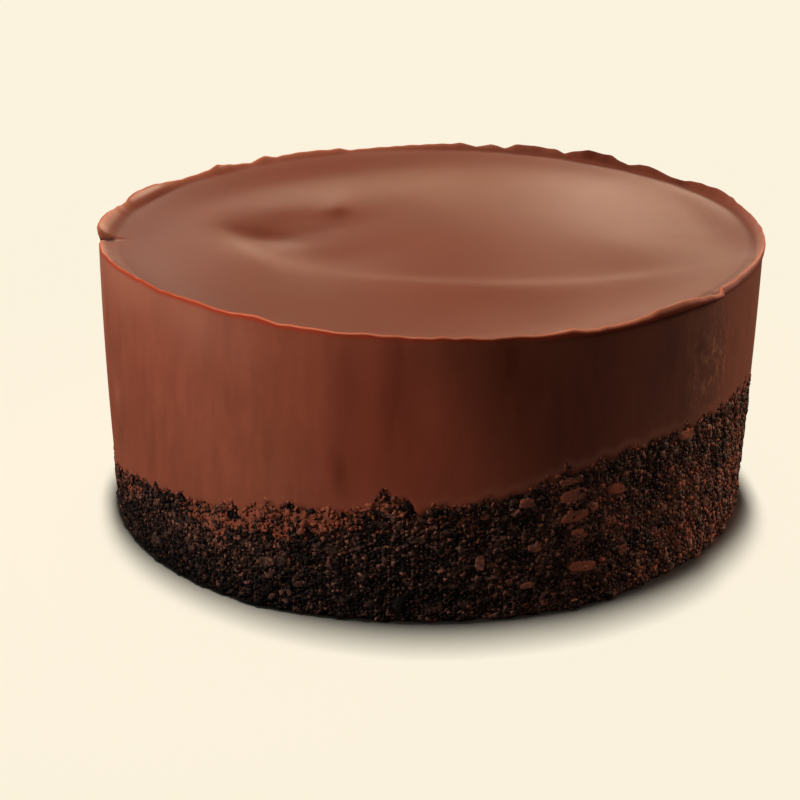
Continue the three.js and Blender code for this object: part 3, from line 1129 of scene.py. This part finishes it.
@dataclass
class CrumbGrains:
    """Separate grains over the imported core, flattened where the mould pressed them."""

    wall: CrumbWall
    kinds: tuple[GrainKind, ...]
    finish: Finish = field(default_factory=CrumbFinish)
    columns: int = 480
    wall_rows: int = 40
    foot_inset: float = 0.2
    over_seam: float = 0.15
    tilt: float = 0.3
    lumpiness: float = 1.1
    lump_scale: float = 1.9
    flattening: float = 0.85
    foot_clearance: float = 0.05
    densest: float = 1.0e8

    def skin(self) -> bpy.types.Mesh:
        """Return the open wall that the grains are strewn on."""
        wall = self.wall
        turn = np.linspace(0.0, 360.0, self.columns, endpoint=False)
        seam = wall.form.seam(turn, np.ones_like(turn)) + self.over_seam
        share = np.linspace(0.0, 1.0, self.wall_rows)[:, None]
        height = self.foot_inset + (seam - self.foot_inset) * share
        points = on_wall(turn[None, :], wall.radius(turn, height), height) * MM
        mesh = bpy.data.meshes.new("grain_skin")
        mesh.from_pydata(points.reshape(-1, 3).tolist(), [], band_faces(self.wall_rows, self.columns))
        mark(mesh, Mark.SMEAR, wall.smear(turn, height))
        mark(mesh, Mark.TONE, wall.warmth(turn, height))
        return mesh

    def tree(self) -> GeometryTree:
        """Return the tree that strews, shapes and flattens the grains of one kind."""
        tree = GeometryTree("pressed_grains")
        wires = tree.wires
        spacing = tree.need("Spacing")
        smallest, largest = tree.need("Smallest"), tree.need("Largest")
        low_tone, high_tone = tree.need("Lowest tone"), tree.need("Highest tone")
        flatness, sink, stand = tree.need("Flatness"), tree.need("Sink"), tree.need("Stand")
        evenly, in_smears = tree.need("Evenly"), tree.need("In smears")
        sides = tree.need("Sides", "NodeSocketInt")
        seed = tree.need("Seed", "NodeSocketInt")

        def draw(low: Feed, high: Feed, offset: int) -> Socket:
            node = wires.add("FunctionNodeRandomValue", data_type="FLOAT")
            wires.feed(node.inputs[2], low)
            wires.feed(node.inputs[3], high)
            wires.feed(node.inputs["Seed"], wires.math("ADD", seed, float(offset)))
            return node.outputs[1]

        def drawn(low: Feed, high: Feed, power: float, offset: int) -> Socket:
            share = wires.math("POWER", draw(0.0, 1.0, offset), power)
            return wires.math("ADD", low, wires.math("MULTIPLY", share, wires.math("SUBTRACT", high, low)))

        strew = wires.add("GeometryNodeDistributePointsOnFaces", distribute_method="POISSON")
        density = wires.math("MULTIPLY", in_smears, tree.named(Mark.SMEAR))
        density = wires.math("ADD", evenly, density, clamp=True)
        wires.fill(strew, Mesh=tree.given.outputs["Geometry"], Distance_Min=spacing)
        wires.fill(strew, Density_Max=self.densest, Density_Factor=density, Seed=seed)
        keep = wires.add("GeometryNodeCaptureAttribute", domain="POINT")
        for kind, name in (("VECTOR", "Anchor"), ("VECTOR", "Facing"), ("FLOAT", "Size"), ("FLOAT", "Tone")):
            keep.capture_items.new(kind, name)
        tone = wires.math("ADD", drawn(low_tone, high_tone, 2.0, 2), tree.named(Mark.TONE))
        wires.fill(keep, Geometry=strew.outputs["Points"], Anchor=tree.position())
        wires.fill(keep, Facing=strew.outputs["Normal"], Size=drawn(smallest, largest, 2.5, 1), Tone=tone)
        facing, size = keep.outputs["Facing"], keep.outputs["Size"]

        cube = wires.add("GeometryNodeMeshCube")
        wires.fill(cube, Vertices_X=sides, Vertices_Y=sides, Vertices_Z=sides)
        unit = wires.add("ShaderNodeVectorMath", operation="NORMALIZE")
        wires.feed(unit.inputs[0], tree.position())
        rounded = wires.add("GeometryNodeSetPosition")
        wires.fill(rounded, Geometry=cube.outputs["Mesh"], Position=wires.times(unit.outputs[0], 0.5))
        tilt = wires.add("FunctionNodeRandomValue", data_type="FLOAT_VECTOR")
        tilt.inputs[0].default_value = (-self.tilt, -self.tilt, 0.0)
        tilt.inputs[1].default_value = (self.tilt, self.tilt, 2.0 * math.pi)
        wires.feed(tilt.inputs["Seed"], wires.math("ADD", seed, 3.0))
        spin = wires.fill(wires.add("FunctionNodeEulerToRotation"), Euler=tilt.outputs[0])
        lie = wires.add("FunctionNodeRotateRotation", rotation_space="LOCAL")
        wires.fill(lie, Rotation=strew.outputs["Rotation"], Rotate_By=spin.outputs[0])
        stretch = wires.add("ShaderNodeCombineXYZ")
        wires.fill(stretch, X=draw(0.8, 1.5, 4), Y=draw(0.7, 1.1, 5), Z=flatness)
        place = wires.add("GeometryNodeInstanceOnPoints")
        wires.fill(place, Points=keep.outputs["Geometry"], Instance=rounded.outputs[0])
        wires.fill(place, Rotation=lie.outputs[0], Scale=wires.times(stretch.outputs[0], size))
        real = wires.fill(wires.add("GeometryNodeRealizeInstances"), Geometry=place.outputs[0])

        noise = wires.add("ShaderNodeTexNoise")
        wires.fill(noise, Vector=tree.position(), Scale=self.lump_scale / MM, Detail=1.0)
        push = wires.vector("SUBTRACT", noise.outputs["Color"], (0.5, 0.5, 0.5))
        push = wires.times(push, wires.math("MULTIPLY", size, self.lumpiness))
        down = wires.times(facing, wires.math("MULTIPLY", sink, -1.0))
        lumpy = tree.shifted(real.outputs[0], wires.vector("ADD", push, down))
        away = wires.vector("SUBTRACT", tree.position(), keep.outputs["Anchor"])
        out = wires.add("ShaderNodeVectorMath", operation="DOT_PRODUCT")
        wires.feed(out.inputs[0], away)
        wires.feed(out.inputs[1], facing)
        excess = wires.math("SUBTRACT", out.outputs["Value"], stand)
        excess = wires.math("MULTIPLY", wires.math("MAXIMUM", excess, 0.0), -self.flattening)
        pressed = tree.shifted(lumpy, wires.times(facing, excess))
        last = wires.fill(wires.add("ShaderNodeSeparateXYZ"), Vector=tree.position())
        under = wires.math("SUBTRACT", self.foot_clearance * MM, last.outputs["Z"])
        under = wires.math("MAXIMUM", under, 0.0)
        lift = wires.fill(wires.add("ShaderNodeCombineXYZ"), Z=under)
        level = tree.shifted(pressed, lift.outputs[0])
        toned = tree.stored(level, Mark.TONE, keep.outputs["Tone"])
        tree.finish(toned, self.finish.material())
        return tree

    def build(self) -> list[Piece]:
        """Return one object for each kind of grain."""
        tree = self.tree()
        return [tree.run(kind.name, self.skin(), kind.values()) for kind in self.kinds]

    def dress(self, pieces: list[Piece], slot: Slot) -> None:
        """Attach each piece to the body."""
        for piece in pieces:
            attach(piece, BODY)


@dataclass(frozen=True)
class Patch:
    """One flat crumb that the mould pressed flush, by its turn, height, width, height and tone."""

    turn: float
    height: float
    wide: float
    tall: float
    tone: float = 1.15


@dataclass
class PressedPatches:
    """Larger crumbs that lie flush in the wall with flat faces."""

    wall: CrumbWall
    finish: CrumbFinish = field(default_factory=CrumbFinish)
    name: str = "flush_crumbs"
    sides: int = 14
    thickness: float = 0.45
    stand: float = 0.07
    extra: int = 110
    seed: int = 77
    squareness: float = 3.2
    margins: tuple[float, float] = (1.0, 0.8)
    widths: tuple[float, float] = (0.7, 2.2)
    heights: tuple[float, float] = (0.5, 1.1)
    tones: tuple[float, float] = (0.25, 0.9)
    dull: Swell = Swell(215, 45, 0.35)
    named: tuple[Patch, ...] = table(
        Patch,
        (294.3, 11.7, 3.6, 1.2, 1.3), (294, 14.3, 3.4, 1.5, 1.25), (293.5, 16.1, 3.0, 0.8, 1.4),
        (295.2, 9.5, 2.2, 1.1, 1.45), (296, 5.3, 3.5, 1.3, 1.5), (302.5, 13.9, 2.8, 1.3, 1.4),
        (319, 17.4, 4.4, 1.2, 1.2), (286, 14.2, 2.0, 1.2, 1.4), (287.5, 8.5, 1.8, 0.9, 1.2),
        (286.5, 4.0, 1.8, 0.8, 1.2), (304, 6.2, 1.4, 1.3, 1.3), (301, 10.2, 1.6, 0.9, 1.2),
        (278.5, 7.3, 1.2, 1.8, 1.15),
    )

    def scattered(self) -> list[Patch]:
        """Return smaller flush crumbs at seeded places below the joint."""
        draw = np.random.default_rng(self.seed)
        patches = []
        for _ in range(self.extra):
            turn = draw.uniform(0.0, 360.0)
            seam = float(self.wall.form.seam(np.array([turn]), np.ones(1))[0])
            height = draw.uniform(self.margins[0], seam - self.margins[1])
            wide, tall = draw.uniform(*self.widths), draw.uniform(*self.heights)
            tone = draw.uniform(*self.tones) - float(self.dull.at(turn))
            patches.append(Patch(turn, height, wide, tall, tone))
        return patches

    def build(self) -> Piece:
        """Return all the flush crumbs as one object of small closed slabs."""
        draw = np.random.default_rng(self.seed + 1)
        rings = ((0.5, -1.0), (0.97, -1.0), (1.0, -0.3), (0.93, 0.6), (0.78, 1.0), (0.4, 1.0))
        slab = closed_faces(len(rings), self.sides)
        points, faces, tones = [], [], []
        corner = np.linspace(0.0, 2.0 * math.pi, self.sides, endpoint=False)
        power = self.squareness
        squared = (np.abs(np.cos(corner)) ** power + np.abs(np.sin(corner)) ** power) ** (-1.0 / power)
        for patch in (*self.named, *self.scattered()):
            uneven = 1.0 + draw.normal(0.0, 0.06, self.sides)
            along = 0.5 * patch.wide * squared * uneven * np.cos(corner)
            up = 0.5 * patch.tall * squared * uneven * np.sin(corner)
            lean = draw.uniform(-0.15, 0.15)
            rows = []
            for share, out in rings:
                across = share * (along * math.cos(lean) - up * math.sin(lean))
                height = patch.height + share * (along * math.sin(lean) + up * math.cos(lean))
                turn = patch.turn + np.degrees(across / self.wall.form.top_radius)
                depth = self.stand if out > 0.0 else self.thickness
                rows.append(on_wall(turn, self.wall.radius(turn, height) + out * depth, height))
            start = len(points)
            points.extend(np.array(rows).reshape(-1, 3).tolist())
            points.extend([rows[0].mean(axis=0).tolist(), rows[-1].mean(axis=0).tolist()])
            faces.extend(tuple(start + index for index in face) for face in slab)
            tones.extend([patch.tone] * (len(points) - start))
        mesh = bpy.data.meshes.new(self.name)
        mesh.from_pydata((np.array(points) * MM).tolist(), [], faces)
        mesh.shade_smooth()
        mark(mesh, Mark.TONE, np.array(tones))
        piece = new_object(self.name, mesh)
        self.finish.dress(piece)
        return piece

    def dress(self, piece: Piece) -> None:
        """Attach the piece to the body."""
        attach(piece, BODY)


@dataclass(frozen=True)
class SoftBox:
    """One soft light, by its direction from the cake in degrees, distance and size in metres."""

    name: str
    turn: float
    rise: float
    distance: float
    width: float
    height: float
    power: float
    tint: tuple[float, float, float] = (1.0, 1.0, 1.0)
    shadow: bool = True
    mirrored: bool = True

    def place(self) -> Vector:
        """Return where the light hangs, in metres."""
        turn, rise = math.radians(self.turn), math.radians(self.rise)
        level = math.cos(rise)
        return Vector((math.cos(turn) * level, math.sin(turn) * level, math.sin(rise))) * self.distance

    def hang(self) -> Piece:
        """Hang the light, facing the cake's middle, and return its object."""
        data = bpy.data.lights.new(self.name, "AREA")
        data.shape = "RECTANGLE"
        data.size, data.size_y = self.width, self.height
        data.energy = self.power
        data.color = self.tint
        data.use_shadow = self.shadow
        data.cycles.use_multiple_importance_sampling = self.shadow
        light = bpy.data.objects.new(self.name, data)
        light.location = self.place()
        light.visible_glossy = self.mirrored
        towards = Vector((0.0, 0.0, 0.02)) - light.location
        light.rotation_euler = towards.to_track_quat("-Z", "Y").to_euler()
        bpy.context.scene.collection.objects.link(light)
        return light


@dataclass
class Studio:
    """Pale floor, soft lights and the camera at the photograph's viewing angle."""

    floor_half: float = 3.0
    eye: tuple[float, float, float] = (0.0, -236.965, 106.994)
    aim: tuple[float, float, float] = (-3.568, 0.0, 10.821)
    lens: float = 90.4
    backdrop: Row = rgb(0.975, 0.904, 0.738)
    fill: Row = rgb(0.03, 0.03, 0.03)
    dark: Row = rgb(0.01, 0.01, 0.01)
    boxes: tuple[SoftBox, ...] = (
        SoftBox("key_left", 195, 27, 1.0, 0.5, 0.5, 14.4, (1.0, 0.98, 0.95), mirrored=False),
        SoftBox("rim_right", 32, 22, 1.0, 0.5, 0.4, 10.2, (1.0, 0.8, 0.6)),
        SoftBox("sheen_left", 106, 9, 1.2, 0.4, 0.22, 0.45, (1.0, 0.95, 0.85), shadow=False),
        SoftBox("sheen_behind", 81, 9, 1.2, 1.1, 0.22, 1.7, (1.0, 0.66, 0.42), shadow=False),
        SoftBox("sheen_right", 71, 9, 1.2, 0.6, 0.22, 2.0, (1.0, 0.76, 0.55), shadow=False),
        SoftBox("fill_front", 285, 30, 1.5, 1.6, 1.2, 4.0, (1.0, 0.96, 0.92), mirrored=False),
    )
    strip: SoftBox = SoftBox("floor_strip", 93, 84.3, 10.0, 0.7, 2.5, 1045.0)

    def camera(self) -> None:
        """Make the camera and give it to the scene."""
        data = bpy.data.cameras.new("camera")
        data.lens = self.lens
        data.clip_start, data.clip_end = 0.01, 20.0
        camera = bpy.data.objects.new("camera", data)
        eye, aim = Vector(self.eye) * MM, Vector(self.aim) * MM
        camera.location = eye
        camera.rotation_euler = (aim - eye).to_track_quat("-Z", "Y").to_euler()
        bpy.context.scene.collection.objects.link(camera)
        bpy.context.scene.camera = camera

    def floor(self) -> Piece:
        """Lay the floor just under the cake."""
        half = self.floor_half
        mesh = bpy.data.meshes.new("floor")
        corners = [(-half, -half, 0.0), (half, -half, 0.0), (half, half, 0.0), (-half, half, 0.0)]
        mesh.from_pydata(corners, [], [(0, 1, 2, 3)])
        floor = new_object("floor", mesh)
        FloorFinish().dress(floor)
        return floor

    def lights(self, floor: Piece) -> None:
        """Light the cake from the left and from behind, and the floor from above."""
        no_floor = bpy.data.collections.new("all_but_the_floor")
        no_floor.objects.link(floor)
        no_floor.collection_objects[0].light_linking.link_state = "EXCLUDE"
        only_floor = bpy.data.collections.new("floor_alone")
        only_floor.objects.link(floor)
        for box in self.boxes:
            box.hang().light_linking.receiver_collection = no_floor
        self.strip.hang().light_linking.receiver_collection = only_floor

    def world(self) -> None:
        """Set a pale backdrop that gives the cake only a dim even fill."""
        world = bpy.data.worlds.new("studio")
        world.use_nodes = True
        world.node_tree.nodes.clear()
        wires = Wiring(world.node_tree)
        path = wires.add("ShaderNodeLightPath")
        light = wires.blend(path.outputs["Is Glossy Ray"], self.fill, self.dark)
        shade = wires.add("ShaderNodeBackground")
        wires.fill(shade, Color=wires.blend(path.outputs["Is Camera Ray"], light, self.backdrop))
        target = wires.add("ShaderNodeOutputWorld")
        wires.fill(target, Surface=shade.outputs[0])
        bpy.context.scene.world = world

    def build(self) -> None:
        """Set up the whole studio."""
        bpy.context.scene.view_settings.view_transform = "Standard"
        self.camera()
        self.lights(self.floor())
        self.world()


def report(piece: Piece) -> None:
    """Log a finished piece and its triangle count."""
    piece.data.calc_loop_triangles()
    LOG.info("%s: %d triangles", piece.name, len(piece.data.loop_triangles))


def make(part: Filling | CrumbCore | PressedPatches) -> None:
    """Build a part, dress its piece and report it."""
    piece = part.build()
    part.dress(piece)
    report(piece)


def main() -> None:
    """Build the studio and the cake, and report each piece."""
    logging.basicConfig(level=logging.INFO, format="%(name)s: %(message)s")
    Studio().build()
    form = CakeForm()
    wall = CrumbWall(form)
    make(Filling(form))
    make(CrumbCore(wall))
    grains = CrumbGrains(
        wall,
        kinds=(
            GrainKind("coarse_grains", 2.3, 0.8, 1.5, -0.1, 0.5, seed=20, sides=3),
            GrainKind("dark_grains", 0.52, 0.35, 0.9, -0.1, 0.6, seed=21),
            GrainKind("brown_grains", 1.0, 0.35, 1.1, 0.3, 0.95, seed=22, stand=0.07, in_smears=-0.3),
            GrainKind("fine_grains", 0.5, 0.22, 0.5, -0.1, 0.75, seed=23, stand=0.07, in_smears=-0.4),
        ),
    )
    strewn = grains.build()
    grains.dress(strewn, Slot.CRUMB)
    for piece in strewn:
        report(piece)
    make(PressedPatches(wall))


if __name__ == "__main__":
    main()
